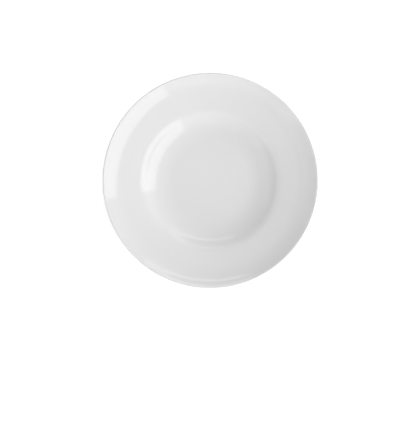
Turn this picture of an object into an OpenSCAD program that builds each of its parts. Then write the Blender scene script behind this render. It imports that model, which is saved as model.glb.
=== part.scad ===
// Wide-rimmed pasta bowl in glazed porcelain.
//
// The bowl is a body of revolution about Z, and it stands on the plane z = 0.
// Its section is drawn once, as straight legs between corners that are then rounded:
// from the middle of the floor, up the well and out along the rim, round the lip,
// back along the underside and down to the foot ring. The material lies to the right
// of that travel, so a leg that moves to its right sinks into the porcelain.
// The porcelain is bare where it stands. Elsewhere a skin of glaze covers it.

/* [Rim] */
// Diameter over the lip
rim_d = 300; // [285:1:330]
// Height from the table to the top of the lip
bowl_h = 56; // [52:0.5:64]
// Diameter at which the rim's upper face turns up, before rounding
rim_bend_d = 265; // [250:1:275]
// Height of that bend above the table
rim_bend_h = 43; // [41:0.1:46]
// Rounding of that bend, on the upper face
rim_bend_r = 64; // [20:1:80]

/* [Well] */
// Diameter at which the rim drops into the well, before rounding
shoulder_d = 193.5; // [185:0.5:209]
// Height of that shoulder above the table
shoulder_h = 30.8; // [28:0.1:36]
// Rounding of the shoulder, on the upper face
shoulder_r = 26.5; // [10:0.5:40]
// Diameter at which the floor meets the wall, before rounding
floor_d = 150.5; // [135:0.5:160]
// Height of the floor above the table
floor_h = 10.3; // [8:0.1:12]
// Rounding between the floor and the wall
well_r = 53; // [10:1:60]

/* [Thickness] */
// Thickness of the lip, which is fully round
lip_t = 3; // [2.4:0.1:4.5]
// Thickness of the upturned edge where it leaves the rim's bend
edge_t = 4.3; // [3.6:0.1:5.5]
// Thickness of the rim between the shoulder and the bend
rim_t = 4.9; // [4:0.1:6.5]
// Thickness of the wall at the shoulder
wall_t = 6; // [4.5:0.1:7]
// How much steeper the wall's outside is than its inside, in degrees
wall_taper = 2.8; // [0:0.1:8]
// Thickness of the base inside the foot ring
base_t = 6; // [4:0.1:7]
// Thickness of the glaze
glaze_t = 0.3; // [0.2:0.05:0.5]
// Seam between the porcelain and the glaze that is fused to it
seam_t = 0.02; // [0.01:0.01:0.05]

/* [Underside] */
// Rounding of the rim's bend, on the underside
under_bend_r = 75; // [30:1:80]
// Rounding of the shoulder, on the underside
under_shoulder_r = 13.5; // [5:0.5:20]
// Slope of the underside between the foot ring and the wall, in degrees
under_slope = 10.8; // [8:0.1:14]
// Rounding between that slope and the wall
under_r = 45.5; // [10:0.5:60]

/* [Foot ring] */
// Outer diameter of the ring where it stands
foot_d = 105.5; // [95:0.5:115]
// Width of the ring where it stands
foot_w = 4.2; // [3:0.1:6]
// Height of the ring, on its outside
foot_h = 4.6; // [3.8:0.1:5.5]
// How far the ring's outside leans out over that height
foot_flare = 6.8; // [3:0.1:8]
// How far the ring's inside leans in, up to the base
foot_draft = 1.6; // [0.5:0.1:3]
// Rounding where the ring meets the bowl, outside
foot_fillet_r = 5; // [1:0.5:8]
// Rounding where the ring meets the base, inside
recess_fillet_r = 2; // [0.5:0.5:3]
// Rounding of the edges that the bowl stands on
foot_edge_r = 0.6; // [0.3:0.1:1]
// Height above the table at which the glaze ends
bare_h = 1.2; // [0.8:0.1:1.6]

/* [Hidden] */

// Largest gap between an arc and the chords that draw it
arc_tolerance = 0.01;
// Steps of a full turn about the axis
turn_steps = 180;

porcelain_colour = [0.90, 0.89, 0.86];
glaze_colour = [0.93, 0.93, 0.93];

// Geometry of legs and corners, as points [radius, height]

// Direction from a to b
function toward(a, b) = (b - a) / norm(b - a);

// Direction that rises at an angle, and the angle at which a leg rises
function heading(angle) = [cos(angle), sin(angle)];
function slope_of(leg) = atan2(leg.y, leg.x);

// Direction a quarter turn to the right of u
function right_of(u) = [u.y, -u.x];

// Where the line through p along u meets the line through q along v
function meeting(p, u, q, v) = p + u * cross(q - p, v) / cross(u, v);

// Angle by which the travel a, b, c turns at b, positive to the left
function turn(a, b, c) =
    let (u = toward(a, b), v = toward(b, c))
    atan2(cross(u, v), u * v);

// Corner b of the travel a, b, c once the leg before it is moved d_before to the right
// and the leg after it d_after
function moved_corner(a, b, c, d_before, d_after) =
    let (u = toward(a, b), v = toward(b, c))
    meeting(b + d_before * right_of(u), u, b + d_after * right_of(v), v);

// A path with every leg moved d to the right. Its ends move square to their legs.
function sunk_path(path, d) =
    let (last = len(path) - 1)
    [
        path[0] + d * right_of(toward(path[0], path[1])),
        for (i = [1 : last - 1]) moved_corner(path[i - 1], path[i], path[i + 1], d, d),
        path[last] + d * right_of(toward(path[last - 1], path[last])),
    ];

// Roundings of a path that was sunk by d: a left turn's grows, a right turn's shrinks
function sunk_radii(path, radii, d) =
    let (last = len(path) - 1)
    [
        for (i = [0 : last])
            i == 0 || i == last
                ? 0
                : max(0, radii[i] + d * sign(turn(path[i - 1], path[i], path[i + 1])))
    ];

// Length of leg that the rounding at corner i asks for, and that the legs beside it can give
function asked_length(path, radii, i) =
    i <= 0 || i >= len(path) - 1
        ? 0
        : radii[i] * tan(abs(turn(path[i - 1], path[i], path[i + 1])) / 2);

function leg_share(path, radii, i) =
    let (asked = asked_length(path, radii, i) + asked_length(path, radii, i + 1))
    asked == 0 ? 1 : min(1, norm(path[i + 1] - path[i]) / asked);

// Points of the arc that rounds corner i
function corner_arc(path, radii, i) =
    let (
        a = path[i - 1],
        b = path[i],
        c = path[i + 1],
        bend = turn(a, b, c),
        share = min(leg_share(path, radii, i - 1), leg_share(path, radii, i)),
        r = radii[i] * share,
        start = b - asked_length(path, radii, i) * share * toward(a, b),
        centre = start - sign(bend) * r * right_of(toward(a, b)),
        steps = ceil(abs(bend) / (2 * acos(1 - arc_tolerance / r))),
        spoke = start - centre
    )
    [
        for (k = [0 : steps])
            let (t = bend * k / steps)
            centre + [
                spoke.x * cos(t) - spoke.y * sin(t),
                spoke.x * sin(t) + spoke.y * cos(t),
            ]
    ];

// A path with its corners rounded
function rounded(path, radii) =
    let (last = len(path) - 1)
    [
        path[0],
        for (i = [1 : last - 1])
            each (radii[i] > arc_tolerance ? corner_arc(path, radii, i) : [path[i]]),
        path[last],
    ];

function reversed(points) = [for (i = [len(points) - 1 : -1 : 0]) points[i]];

// Corners of the glazed surface

// Upper face
floor_middle = [0, floor_h];
floor_corner = [floor_d / 2, floor_h];
shoulder = [shoulder_d / 2, shoulder_h];
rim_bend = [rim_bend_d / 2, rim_bend_h];

// The lip is round about this point, and both faces of the upturned edge run tangent to it
lip_r = lip_t / 2;
lip_centre = [rim_d / 2 - lip_r, bowl_h - lip_r];

// Direction from p that touches the lip's round, above it (side 1) or below it (side -1)
function lip_tangent(p, side) =
    let (reach = lip_centre - p)
    heading(slope_of(reach) + side * asin(lip_r / norm(reach)));

// Underside, with the legs of the rim and of its edge one thickness below the upper face
edge_way = lip_tangent(rim_bend, 1);
rim_under = moved_corner(shoulder, rim_bend, rim_bend + edge_way, rim_t, edge_t);
under_edge_way = lip_tangent(rim_under, -1);
shoulder_under = moved_corner(floor_corner, shoulder, rim_bend, wall_t, rim_t);
outer_wall_way = heading(slope_of(shoulder - floor_corner) + wall_taper);
foot_top = [foot_d / 2 + foot_flare, foot_h];
wall_under = meeting(shoulder_under, outer_wall_way, foot_top, heading(under_slope));

// Corners of the square end that the lip's round is cut from
lip_way = toward([0, 0], edge_way + under_edge_way);
lip_tip = lip_centre + lip_r * lip_way;
lip_upper = meeting(rim_bend, edge_way, lip_tip, right_of(lip_way));
lip_lower = meeting(rim_under, under_edge_way, lip_tip, right_of(lip_way));

// Foot ring and the base inside it
foot_outer = [foot_d / 2, 0];
foot_inner = [foot_d / 2 - foot_w, 0];
recess_h = floor_h - base_t;
recess_corner = [foot_inner.x - foot_draft, recess_h];
base_middle = [0, recess_h];

// Where the glaze ends, on the ring's outside and on its inside
outer_glaze_end = foot_outer + (foot_top - foot_outer) * bare_h / foot_h;
inner_glaze_end = foot_inner + (recess_corner - foot_inner) * bare_h / recess_h;

// The glazed surface in two stretches, with the ring's bare edge between them
main_path = [
    floor_middle, floor_corner, shoulder, rim_bend, lip_upper, lip_lower,
    rim_under, shoulder_under, wall_under, foot_top, outer_glaze_end,
];
main_radii = [
    0, well_r, shoulder_r, rim_bend_r, lip_r, lip_r,
    under_bend_r, under_shoulder_r, under_r, foot_fillet_r, 0,
];
base_path = [inner_glaze_end, recess_corner, base_middle];
base_radii = [0, recess_fillet_r, 0];

// Depth of the porcelain below the glazed surface
porcelain_depth = glaze_t + seam_t;

// The same two stretches at depth d below the glazed surface
function main_skin(d) = rounded(sunk_path(main_path, d), sunk_radii(main_path, main_radii, d));
function base_skin(d) = rounded(sunk_path(base_path, d), sunk_radii(base_path, base_radii, d));

// The ring's bare edge: the sides of the porcelain run down to the table
function bare_edge() =
    let (
        outside = main_skin(porcelain_depth),
        inside = base_skin(porcelain_depth),
        outer_end = outside[len(outside) - 1],
        inner_end = inside[0],
        table = [-1, 0]
    )
    rounded(
        [
            outer_end,
            meeting(outer_end, toward(foot_top, foot_outer), foot_outer, table),
            meeting(inner_end, toward(foot_inner, recess_corner), foot_inner, table),
            inner_end,
        ],
        [0, foot_edge_r, foot_edge_r, 0]
    );

module turned(section) {
    rotate_extrude($fn = turn_steps) polygon(section);
}

// Vitrified porcelain, up to the seam under the glaze
module porcelain_body() {
    color(porcelain_colour)
        turned(concat(main_skin(porcelain_depth), bare_edge(), base_skin(porcelain_depth)));
}

// Glaze over the well, the rim, the lip and the underside, down to the foot ring
module main_glaze() {
    color(glaze_colour) turned(concat(main_skin(0), reversed(main_skin(glaze_t))));
}

// Glaze on the base inside the foot ring
module base_glaze() {
    color(glaze_colour) turned(concat(base_skin(0), reversed(base_skin(glaze_t))));
}

porcelain_body();
main_glaze();
base_glaze();
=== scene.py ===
"""Dresses the pasta bowl: smooth turned porcelain, its glaze and bare foot ring, in a white studio."""

import logging
import math
from dataclasses import dataclass
from enum import Enum
from typing import Any

import bpy
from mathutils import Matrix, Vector


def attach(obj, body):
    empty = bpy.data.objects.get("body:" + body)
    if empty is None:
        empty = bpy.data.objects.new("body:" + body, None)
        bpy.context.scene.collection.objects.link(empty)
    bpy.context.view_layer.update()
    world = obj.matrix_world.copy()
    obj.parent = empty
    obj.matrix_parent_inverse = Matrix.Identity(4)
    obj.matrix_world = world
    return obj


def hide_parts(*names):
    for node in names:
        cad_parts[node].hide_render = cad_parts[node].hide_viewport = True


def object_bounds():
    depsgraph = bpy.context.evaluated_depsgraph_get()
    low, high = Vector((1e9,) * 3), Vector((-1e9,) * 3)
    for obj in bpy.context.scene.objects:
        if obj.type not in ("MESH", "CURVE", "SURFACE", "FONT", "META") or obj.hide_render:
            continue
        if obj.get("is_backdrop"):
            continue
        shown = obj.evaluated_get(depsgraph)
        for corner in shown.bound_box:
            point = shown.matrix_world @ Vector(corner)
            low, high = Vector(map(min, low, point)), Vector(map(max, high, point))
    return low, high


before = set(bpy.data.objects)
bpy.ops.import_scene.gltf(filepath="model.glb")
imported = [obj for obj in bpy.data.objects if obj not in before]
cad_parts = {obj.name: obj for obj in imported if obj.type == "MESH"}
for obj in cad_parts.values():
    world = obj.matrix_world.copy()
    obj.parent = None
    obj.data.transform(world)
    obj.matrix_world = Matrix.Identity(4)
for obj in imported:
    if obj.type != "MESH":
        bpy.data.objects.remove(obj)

LOG = logging.getLogger("pasta_bowl")

# Lengths are in metres
MM = 0.001
WHITE = (1.0, 1.0, 1.0, 1.0)
FULL_RANGE = (0.0, 1.0)

# Rings in a metre of a wave texture of scale 1
RINGS_PER_METRE = 20 / math.tau

# How near the seam's plane a CAD node's vertices lie, and the digits that they are rounded to
SEAM_TOLERANCE = 1e-7
SEAM_DIGITS = 7

# Points of a turned layer that lie closer than this are one point
MERGE_DISTANCE = 0.001 * MM

Point = tuple[float, float]
Range = tuple[float, float]
Colour = tuple[float, float, float]
Socket = bpy.types.NodeSocket


def heading(turn: float, rise: float) -> Vector:
    """Finds a direction as seen from the bowl.

    Args:
        turn: degrees about Z, from +X.
        rise: degrees above the floor.

    Returns:
        The unit vector.
    """
    level = math.cos(math.radians(rise))
    across = math.radians(turn)
    return Vector((math.cos(across) * level, math.sin(across) * level, math.sin(math.radians(rise))))


class Layer(Enum):
    """The bowl's separate layers, by the name of their CAD node."""

    BODY = "porcelain_body"
    MAIN_GLAZE = "main_glaze"
    BASE_GLAZE = "base_glaze"


class Slot(Enum):
    """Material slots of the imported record."""

    PORCELAIN = "porcelain"
    GLAZE = "glaze"


class Fade(Enum):
    """How a value runs between the ends of a new range."""

    STRAIGHT = "LINEAR"
    SOFT = "SMOOTHSTEP"


class Graph:
    """A node tree with short ways to add and join nodes."""

    def __init__(self, tree: bpy.types.NodeTree) -> None:
        """Takes over a tree and empties it.

        Args:
            tree: the tree to fill.
        """
        self.tree = tree
        tree.nodes.clear()

    def add(self, kind: str, inputs: dict[Any, Any] | None = None, **settings: Any) -> bpy.types.Node:
        """Adds a node.

        Args:
            kind: the node's type name in Blender.
            inputs: what each input takes, by name or number: a socket to link or a plain value.
            settings: the node's own properties.

        Returns:
            The new node.
        """
        node = self.tree.nodes.new(kind)
        for name, value in settings.items():
            setattr(node, name, value)
        for key, value in (inputs or {}).items():
            if isinstance(value, Socket):
                self.tree.links.new(value, node.inputs[key])
            else:
                node.inputs[key].default_value = value
        return node

    def math(self, operation: str, *values: Any) -> Socket:
        """Adds a Math node.

        Args:
            operation: the operation's name.
            values: sockets or numbers, in order.

        Returns:
            The node's result.
        """
        inputs = dict(enumerate(values))
        return self.add("ShaderNodeMath", inputs, operation=operation).outputs[0]

    def mean(self, first: Socket, second: Socket) -> Socket:
        """Adds the mean of two values.

        Args:
            first: one value.
            second: the other value.

        Returns:
            Their mean.
        """
        return self.math("MULTIPLY", self.math("ADD", first, second), 0.5)

    def remap(self, value: Socket, span: Range, onto: Range, fade: Fade = Fade.STRAIGHT) -> Socket:
        """Adds a change of range, which keeps its result inside the new one.

        Args:
            value: the value to map.
            span: the values that become the ends of the new range.
            onto: the new range.
            fade: how the value runs between its ends.

        Returns:
            The mapped value.
        """
        inputs = {
            "Value": value,
            "From Min": span[0],
            "From Max": span[1],
            "To Min": onto[0],
            "To Max": onto[1],
        }
        return self.add("ShaderNodeMapRange", inputs, interpolation_type=fade.value).outputs["Result"]

    def noise(self, place: Socket, size: float, detail: float) -> Socket:
        """Adds an uneven cloud.

        Args:
            place: where on the piece.
            size: size of its largest patches, in metres.
            detail: how many finer layers it has.

        Returns:
            Its value, about 0 to 1.
        """
        inputs = {"Vector": place, "Scale": 1 / size, "Detail": detail}
        return self.add("ShaderNodeTexNoise", inputs).outputs["Fac"]

    def blend(self, share: Socket, low: Colour, high: Colour) -> Socket:
        """Adds a blend of two colours. A Mix node's colour sockets are told apart by number.

        Args:
            share: how much of the second colour is in the blend.
            low: colour at share 0.
            high: colour at share 1.

        Returns:
            The blended colour.
        """
        share_in, low_in, high_in, colour_out = 0, 6, 7, 2
        inputs = {share_in: share, low_in: (*low, 1), high_in: (*high, 1)}
        return self.add("ShaderNodeMix", inputs, data_type="RGBA").outputs[colour_out]

    def relief(self, height: Socket, depth: float) -> Socket:
        """Adds a fine unevenness of the surface.

        Args:
            height: its height, 0 to 1.
            depth: how deep a height of 1 is, in metres.

        Returns:
            The uneven surface's normal.
        """
        inputs = {"Height": height, "Strength": 1.0, "Distance": depth}
        return self.add("ShaderNodeBump", inputs).outputs["Normal"]

    def shade(self, inputs: dict[str, Any]) -> None:
        """Ends a material's tree in a shader.

        Args:
            inputs: what the shader's inputs take.
        """
        shader = self.add("ShaderNodeBsdfPrincipled", inputs).outputs["BSDF"]
        self.add("ShaderNodeOutputMaterial", {"Surface": shader})


def new_material(name: str) -> tuple[bpy.types.Material, Graph]:
    """Starts a procedural material.

    Args:
        name: the material's name.

    Returns:
        The material and its empty tree.
    """
    made = bpy.data.materials.new(name)
    made.use_nodes = True
    return made, Graph(made.node_tree)


@dataclass(frozen=True)
class GlazeFinish:
    """Clear glossy glaze over white porcelain, thin at the lip and deeper in tone lower down.

    Attributes:
        name: the material's name.
        thin: colour where the glaze is thin.
        pooled: colour where it has pooled.
        thin_height: height from which it is thin.
        pooled_height: height up to which it has pooled.
        smoothest: roughness of its glossiest patches.
        roughest: roughness of its dullest patches.
        cloud_size: size of the patches of tone and gloss.
        cloud_detail: how many finer layers those patches have.
        ripple_size: size of the ripples that the fired glaze keeps.
        ripple_detail: how many finer layers the ripples have.
        ripple_height: height of the ripples.
    """

    name: str
    thin: Colour = (0.765, 0.765, 0.764)
    pooled: Colour = (0.752, 0.752, 0.752)
    thin_height: float = 50 * MM
    pooled_height: float = 10 * MM
    smoothest: float = 0.02
    roughest: float = 0.04
    cloud_size: float = 60 * MM
    cloud_detail: float = 3.0
    ripple_size: float = 12 * MM
    ripple_detail: float = 2.0
    ripple_height: float = 0.004 * MM

    def material(self) -> bpy.types.Material:
        """Makes the material.

        Returns:
            A new procedural material.
        """
        made, graph = new_material(self.name)
        place = graph.add("ShaderNodeTexCoord").outputs["Object"]
        height = graph.add("ShaderNodeSeparateXYZ", {"Vector": place}).outputs["Z"]
        cloud = graph.noise(place, self.cloud_size, self.cloud_detail)
        depth = graph.remap(height, (self.thin_height, self.pooled_height), FULL_RANGE)
        ripple = graph.noise(place, self.ripple_size, self.ripple_detail)
        graph.shade(
            {
                "Base Color": graph.blend(graph.mean(cloud, depth), self.thin, self.pooled),
                "Roughness": graph.remap(cloud, FULL_RANGE, (self.smoothest, self.roughest)),
                "Normal": graph.relief(ripple, self.ripple_height),
            }
        )
        return made


@dataclass(frozen=True)
class BareFinish:
    """Bare fired porcelain: matt, finely grained, ground in rings and a little greyed by standing.

    Attributes:
        name: the material's name.
        colour: colour of the clean porcelain.
        worn: colour of the greyed porcelain.
        worn_below: height in the ground surface, 0 to 1, below which it is all greyed.
        clean_above: height in the ground surface above which it is clean.
        roughness: roughness of the surface.
        grain_size: size of the grain.
        grain_detail: how many finer layers the grain has.
        ring_pitch: distance between the rings that grinding leaves.
        ring_waver: how unevenly the rings run.
        relief: depth of the grain and the rings together.
    """

    name: str
    colour: Colour = (0.74, 0.725, 0.69)
    worn: Colour = (0.56, 0.55, 0.53)
    worn_below: float = 0.25
    clean_above: float = 0.55
    roughness: float = 0.7
    grain_size: float = 0.5 * MM
    grain_detail: float = 3.0
    ring_pitch: float = 0.4 * MM
    ring_waver: float = 1.5
    relief: float = 0.02 * MM

    def material(self) -> bpy.types.Material:
        """Makes the material.

        Returns:
            A new procedural material.
        """
        made, graph = new_material(self.name)
        place = graph.add("ShaderNodeTexCoord").outputs["Object"]
        grain = graph.noise(place, self.grain_size, self.grain_detail)
        ring_scale = 1 / (self.ring_pitch * RINGS_PER_METRE)
        rings = graph.add(
            "ShaderNodeTexWave",
            {"Vector": place, "Scale": ring_scale, "Distortion": self.ring_waver},
            wave_type="RINGS",
            rings_direction="Z",
        ).outputs["Fac"]
        ground = graph.mean(grain, rings)
        cleanness = graph.remap(ground, (self.worn_below, self.clean_above), FULL_RANGE)
        graph.shade(
            {
                "Base Color": graph.blend(cleanness, self.worn, self.colour),
                "Roughness": self.roughness,
                "Normal": graph.relief(ground, self.relief),
            }
        )
        return made


def turning_tree() -> bpy.types.NodeTree:
    """Builds the Geometry Nodes tree that turns a section about the bowl's axis.

    The section is a chain of points in the XZ plane that starts on top, at the axis. A grid takes
    one column of points from it for each step of the turn, clockwise so that its faces look outwards.
    Its seam and its poles are then merged.

    Returns:
        The node tree, with the inputs Section, Steps, Sharp angle and Finish.
    """
    clockwise_turn = -math.tau
    kinds = {
        "Section": "NodeSocketGeometry",
        "Steps": "NodeSocketInt",
        "Sharp angle": "NodeSocketFloat",
        "Finish": "NodeSocketMaterial",
    }
    tree = bpy.data.node_groups.new("turned_section", "GeometryNodeTree")
    graph = Graph(tree)
    for name, kind in kinds.items():
        tree.interface.new_socket(name, in_out="INPUT", socket_type=kind)
    tree.interface.new_socket("Piece", in_out="OUTPUT", socket_type="NodeSocketGeometry")
    given = graph.add("NodeGroupInput").outputs

    # A grid with a row for each point of the section and a column for each step
    count = graph.add(
        "GeometryNodeAttributeDomainSize", {"Geometry": given["Section"]}, component="MESH"
    ).outputs["Point Count"]
    columns = graph.math("ADD", given["Steps"], 1)
    grid = graph.add("GeometryNodeMeshGrid", {"Vertices X": columns, "Vertices Y": count}).outputs["Mesh"]

    # Each of its points goes to its row's point of the section, turned by its column's share of the turn
    index = graph.add("GeometryNodeInputIndex").outputs[0]
    column = graph.math("FLOOR", graph.math("DIVIDE", index, count))
    row = graph.math("MODULO", index, count)
    place = graph.add("GeometryNodeInputPosition").outputs[0]
    drawn = graph.add(
        "GeometryNodeSampleIndex",
        {"Geometry": given["Section"], "Value": place, "Index": row},
        data_type="FLOAT_VECTOR",
        domain="POINT",
    ).outputs["Value"]
    turn = graph.math("MULTIPLY", graph.math("DIVIDE", column, given["Steps"]), clockwise_turn)
    turned = graph.add(
        "ShaderNodeVectorRotate", {"Vector": drawn, "Angle": turn}, rotation_type="Z_AXIS"
    ).outputs["Vector"]
    shaped = graph.add("GeometryNodeSetPosition", {"Geometry": grid, "Position": turned}).outputs[0]

    # The seam and the poles are merged, and edges stay smooth unless they bend sharply
    closed = graph.add(
        "GeometryNodeMergeByDistance", {"Geometry": shaped, "Distance": MERGE_DISTANCE}
    ).outputs[0]
    smooth = graph.add("GeometryNodeSetShadeSmooth", {"Geometry": closed}).outputs[0]
    bend = graph.add("GeometryNodeInputMeshEdgeAngle").outputs["Unsigned Angle"]
    sharp = graph.math("GREATER_THAN", bend, given["Sharp angle"])
    creased = graph.add(
        "GeometryNodeSetShadeSmooth",
        {"Geometry": smooth, "Selection": sharp, "Shade Smooth": False},
        domain="EDGE",
    ).outputs[0]
    real = graph.add("GeometryNodeRealizeInstances", {"Geometry": creased}).outputs[0]
    dressed = graph.add(
        "GeometryNodeSetMaterial", {"Geometry": real, "Material": given["Finish"]}
    ).outputs[0]
    graph.add("NodeGroupOutput", {"Piece": dressed})
    return tree


@dataclass
class TurnedLayer:
    """One layer of the bowl, turned smoothly from the section of its CAD node.

    Attributes:
        layer: which layer.
        slot: the record's material slot; not used.
        finish: what its surface is like.
        steps: steps of the full turn.
        longest_step: longest step along the section.
        sharp_angle: bend from which an edge stays sharp, in radians.
    """

    layer: Layer
    slot: Slot
    finish: GlazeFinish | BareFinish
    steps: int = 256
    longest_step: float = 4 * MM
    sharp_angle: float = math.radians(35)

    def section(self) -> list[Point]:
        """Reads the node's section where its seam lies, in the half plane y = 0, x >= 0.

        The flat discs at the axis have no seam, so the chain is led on to the axis at both ends.

        Returns:
            Points (radius, height) along the section, from axis to axis, the upper end first.
        """
        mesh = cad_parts[self.layer.value].data

        def spot(index: int) -> Point | None:
            """Gives a vertex as a point of the section, if it lies there."""
            place = mesh.vertices[index].co
            on_seam = abs(place.y) < SEAM_TOLERANCE and place.x > -SEAM_TOLERANCE
            return (round(place.x, SEAM_DIGITS), round(place.z, SEAM_DIGITS)) if on_seam else None

        joined: dict[Point, set[Point]] = {}
        for edge in mesh.edges:
            one, other = (spot(index) for index in edge.vertices)
            if one and other and one != other:
                joined.setdefault(one, set()).add(other)
                joined.setdefault(other, set()).add(one)
        ends = [point for point, neighbours in joined.items() if len(neighbours) == 1]
        chain = [max(ends, key=lambda point: point[1])]
        while len(chain) < len(joined):
            chain.append(next(point for point in joined[chain[-1]] if point not in chain[-2:]))
        return [(0.0, chain[0][1]), *chain, (0.0, chain[-1][1])]

    def spread(self, chain: list[Point]) -> list[Point]:
        """Adds points along the section's long straight stretches.

        Args:
            chain: points (radius, height).

        Returns:
            The same chain with no step longer than longest_step.
        """
        points = chain[:1]
        for (r0, z0), (r1, z1) in zip(chain, chain[1:]):
            parts = math.ceil(math.hypot(r1 - r0, z1 - z0) / self.longest_step)
            for part in range(1, parts + 1):
                points.append((r0 + (r1 - r0) * part / parts, z0 + (z1 - z0) * part / parts))
        return points

    def build(self, tree: bpy.types.NodeTree) -> bpy.types.Object:
        """Turns the section into the piece.

        Args:
            tree: the turning tree.

        Returns:
            The piece, with a plain mesh.
        """
        points = [(radius, 0, height) for radius, height in self.spread(self.section())]
        edges = [(index, index + 1) for index in range(len(points) - 1)]
        mesh = bpy.data.meshes.new(self.layer.value + "_section")
        mesh.from_pydata(points, edges, [])
        piece = bpy.data.objects.new(self.layer.value + "_turned", mesh)
        bpy.context.scene.collection.objects.link(piece)
        modifier = piece.modifiers.new("turned", "NODES")
        modifier.node_group = tree
        values = {
            "Steps": self.steps,
            "Sharp angle": self.sharp_angle,
            "Finish": self.finish.material(),
        }
        for item in tree.interface.items_tree:
            if item.in_out == "INPUT" and item.name in values:
                modifier[item.identifier] = values[item.name]
        shaped = piece.evaluated_get(bpy.context.evaluated_depsgraph_get())
        plain = bpy.data.meshes.new_from_object(shaped)
        piece.modifiers.remove(modifier)
        piece.data = plain
        bpy.data.meshes.remove(mesh)
        return piece

    def dress(self, piece: bpy.types.Object) -> None:
        """Puts the piece in its CAD node's place in the frame.

        Args:
            piece: the built piece.
        """
        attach(piece, "root")
        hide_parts(self.layer.value)
        LOG.info("%s: %d faces", piece.name, len(piece.data.polygons))


@dataclass(frozen=True)
class Glow:
    """A soft bright patch of the surroundings that lights the bowl.

    Attributes:
        turn: degrees about Z, from +X, of its middle.
        rise: degrees above the floor of its middle.
        spread: degrees from its middle to where it has faded out.
        strength: its brightness in the middle, where 1 is white.
    """

    turn: float
    rise: float
    spread: float
    strength: float

    def add(self, graph: Graph, way: Socket) -> Socket:
        """Adds the patch to the surroundings.

        Args:
            graph: the world's tree.
            way: the direction that is asked for.

        Returns:
            The patch's light from that direction.
        """
        inputs = {0: way, 1: heading(self.turn, self.rise)}
        nearness = graph.add("ShaderNodeVectorMath", inputs, operation="DOT_PRODUCT").outputs["Value"]
        faded_out = math.cos(math.radians(self.spread))
        return graph.remap(nearness, (faded_out, 1.0), (0.0, self.strength), Fade.SOFT)


@dataclass(frozen=True)
class Softbox:
    """A flat lamp that stands upright, faces the bowl and shows as a highlight in its glaze.

    Attributes:
        name: the lamp's name.
        turn: degrees about Z, from +X, of its middle.
        distance: metres from the bowl's axis.
        wide: width in metres.
        low: height of its lower edge in metres.
        high: height of its upper edge in metres.
        radiance: its brightness, where 1 is white.
    """

    name: str
    turn: float
    distance: float
    wide: float
    low: float
    high: float
    radiance: float

    def stand(self) -> None:
        """Puts up the lamp."""
        data = bpy.data.lights.new(self.name, "AREA")
        data.shape = "RECTANGLE"
        data.size = self.wide
        data.size_y = self.high - self.low
        # A flat lamp's power is its radiance times pi times its area
        data.energy = self.radiance * math.pi * data.size * data.size_y
        way = heading(self.turn, 0)
        made = bpy.data.objects.new(self.name, data)
        made.location = way * self.distance
        made.location.z = (self.low + self.high) / 2
        made.rotation_euler = way.to_track_quat("Z", "Y").to_euler()
        bpy.context.scene.collection.objects.link(made)


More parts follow.
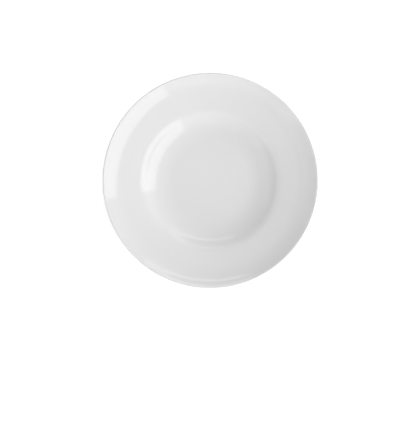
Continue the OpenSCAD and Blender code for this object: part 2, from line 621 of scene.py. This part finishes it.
@dataclass
class Studio:
    """White surroundings, soft light mostly from the right and a camera straight above.

    Attributes:
        frame_px: width and height of the picture.
        bowl_px: where in the picture the bowl's axis lies, from its upper left.
        rim_radius_px: the bowl's radius in the picture.
        camera_height: metres from the lip up to the camera.
        floor_size: length of the floor's sides in metres.
        floor_colour: colour of the floor.
        floor_lift: how much white is added to the floor where it is seen.
        glows: soft patches that light the bowl.
        softboxes: lamps that show in the glaze.
    """

    frame_px: tuple[int, int] = (420, 432)
    bowl_px: tuple[float, float] = (210.4, 180.5)
    rim_radius_px: float = 108.05
    camera_height: float = 1.25
    floor_size: float = 8.0
    floor_colour: Colour = (0.88, 0.88, 0.88)
    floor_lift: float = 0.5
    glows: tuple[Glow, ...] = (
        Glow(turn=231, rise=18, spread=47, strength=1.60),
        Glow(turn=7, rise=65, spread=34, strength=2.88),
        Glow(turn=75, rise=27, spread=39, strength=1.41),
    )
    softboxes: tuple[Softbox, ...] = (
        Softbox("right_softbox", turn=-27, distance=2.5, wide=3.75, low=0.42, high=2.38, radiance=1.98),
        Softbox("back_strip", turn=88, distance=1.5, wide=1.36, low=0.600, high=0.775, radiance=2.3),
        Softbox("back_panel", turn=58, distance=1.5, wide=0.37, low=0.26, high=0.70, radiance=1.35),
        Softbox("front_softbox", turn=254, distance=2.5, wide=4.2, low=0.13, high=1.80, radiance=0.55),
        Softbox("left_softbox", turn=190, distance=2.5, wide=3.6, low=0.65, high=2.40, radiance=0.50),
    )

    def camera(self, low: Vector, high: Vector) -> None:
        """Hangs the camera over the bowl.

        Args:
            low: lowest corner of the bowl's box.
            high: highest corner of the bowl's box.
        """
        wide, tall = self.frame_px
        long_side = max(wide, tall)
        radius = (high.x - low.x) / 2
        shown = long_side * radius / self.rim_radius_px
        data = bpy.data.cameras.new("above")
        data.lens = data.sensor_width * self.camera_height / shown
        data.shift_x = (wide / 2 - self.bowl_px[0]) / long_side
        data.shift_y = (self.bowl_px[1] - tall / 2) / long_side
        made = bpy.data.objects.new("above", data)
        made.location = (0, 0, high.z + self.camera_height)
        bpy.context.scene.collection.objects.link(made)
        bpy.context.scene.camera = made

    def seen_ray(self, graph: Graph) -> Socket:
        """Tells rays that show the background from rays that carry its light.

        Args:
            graph: the tree to add to.

        Returns:
            1 for camera, glossy and transmission rays, else 0.
        """
        path = graph.add("ShaderNodeLightPath").outputs
        some = graph.math("MAXIMUM", path["Is Camera Ray"], path["Is Glossy Ray"])
        return graph.math("MAXIMUM", some, path["Is Transmission Ray"])

    def floor_paint(self) -> bpy.types.Material:
        """Makes the floor's material, lifted to white where it is seen and still taking shadows.

        Returns:
            A new material.
        """
        made, graph = new_material("white_floor")
        paint = graph.add("ShaderNodeBsdfDiffuse", {"Color": (*self.floor_colour, 1)}).outputs[0]
        lift = graph.add(
            "ShaderNodeEmission",
            {"Strength": graph.math("MULTIPLY", self.seen_ray(graph), self.floor_lift)},
        ).outputs[0]
        both = graph.add("ShaderNodeAddShader", {0: paint, 1: lift}).outputs[0]
        graph.add("ShaderNodeOutputMaterial", {"Surface": both})
        return made

    def floor(self) -> None:
        """Lays the floor that the bowl stands on."""
        half = self.floor_size / 2
        mesh = bpy.data.meshes.new("floor")
        corners = [(-half, -half, 0), (half, -half, 0), (half, half, 0), (-half, half, 0)]
        mesh.from_pydata(corners, [], [(0, 1, 2, 3)])
        mesh.materials.append(self.floor_paint())
        floor = bpy.data.objects.new("floor", mesh)
        bpy.context.scene.collection.objects.link(floor)
        floor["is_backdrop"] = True

    def sky(self) -> None:
        """Surrounds the scene with white where it is seen and with soft light elsewhere."""
        world = bpy.data.worlds.new("white_studio")
        bpy.context.scene.world = world
        world.use_nodes = True
        graph = Graph(world.node_tree)
        way = graph.add("ShaderNodeTexCoord").outputs["Object"]
        patches = [glow.add(graph, way) for glow in self.glows]
        light = patches[0]
        for patch in patches[1:]:
            light = graph.math("ADD", light, patch)
        lit = graph.add("ShaderNodeBackground", {"Color": WHITE, "Strength": light}).outputs[0]
        seen = graph.add("ShaderNodeBackground", {"Color": WHITE, "Strength": 1.0}).outputs[0]
        both = graph.add("ShaderNodeMixShader", {0: self.seen_ray(graph), 1: lit, 2: seen}).outputs[0]
        graph.add("ShaderNodeOutputWorld", {"Surface": both})

    def lamps(self) -> None:
        """Puts up the softboxes."""
        for softbox in self.softboxes:
            softbox.stand()


def main() -> None:
    """Builds the bowl's layers and the studio."""
    logging.basicConfig(level=logging.INFO, format="%(name)s: %(message)s")
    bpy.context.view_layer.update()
    bpy.context.scene.view_settings.view_transform = "Standard"
    tree = turning_tree()
    layers = [
        TurnedLayer(Layer.BODY, Slot.PORCELAIN, BareFinish("bare_porcelain")),
        TurnedLayer(Layer.MAIN_GLAZE, Slot.GLAZE, GlazeFinish("main_glaze")),
        TurnedLayer(Layer.BASE_GLAZE, Slot.GLAZE, GlazeFinish("base_glaze")),
    ]
    for layer in layers:
        layer.dress(layer.build(tree))
    studio = Studio()
    low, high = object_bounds()
    studio.camera(low, high)
    studio.floor()
    studio.sky()
    studio.lamps()
    LOG.info("visual box %s to %s", tuple(low), tuple(high))


if __name__ == "__main__":
    main()
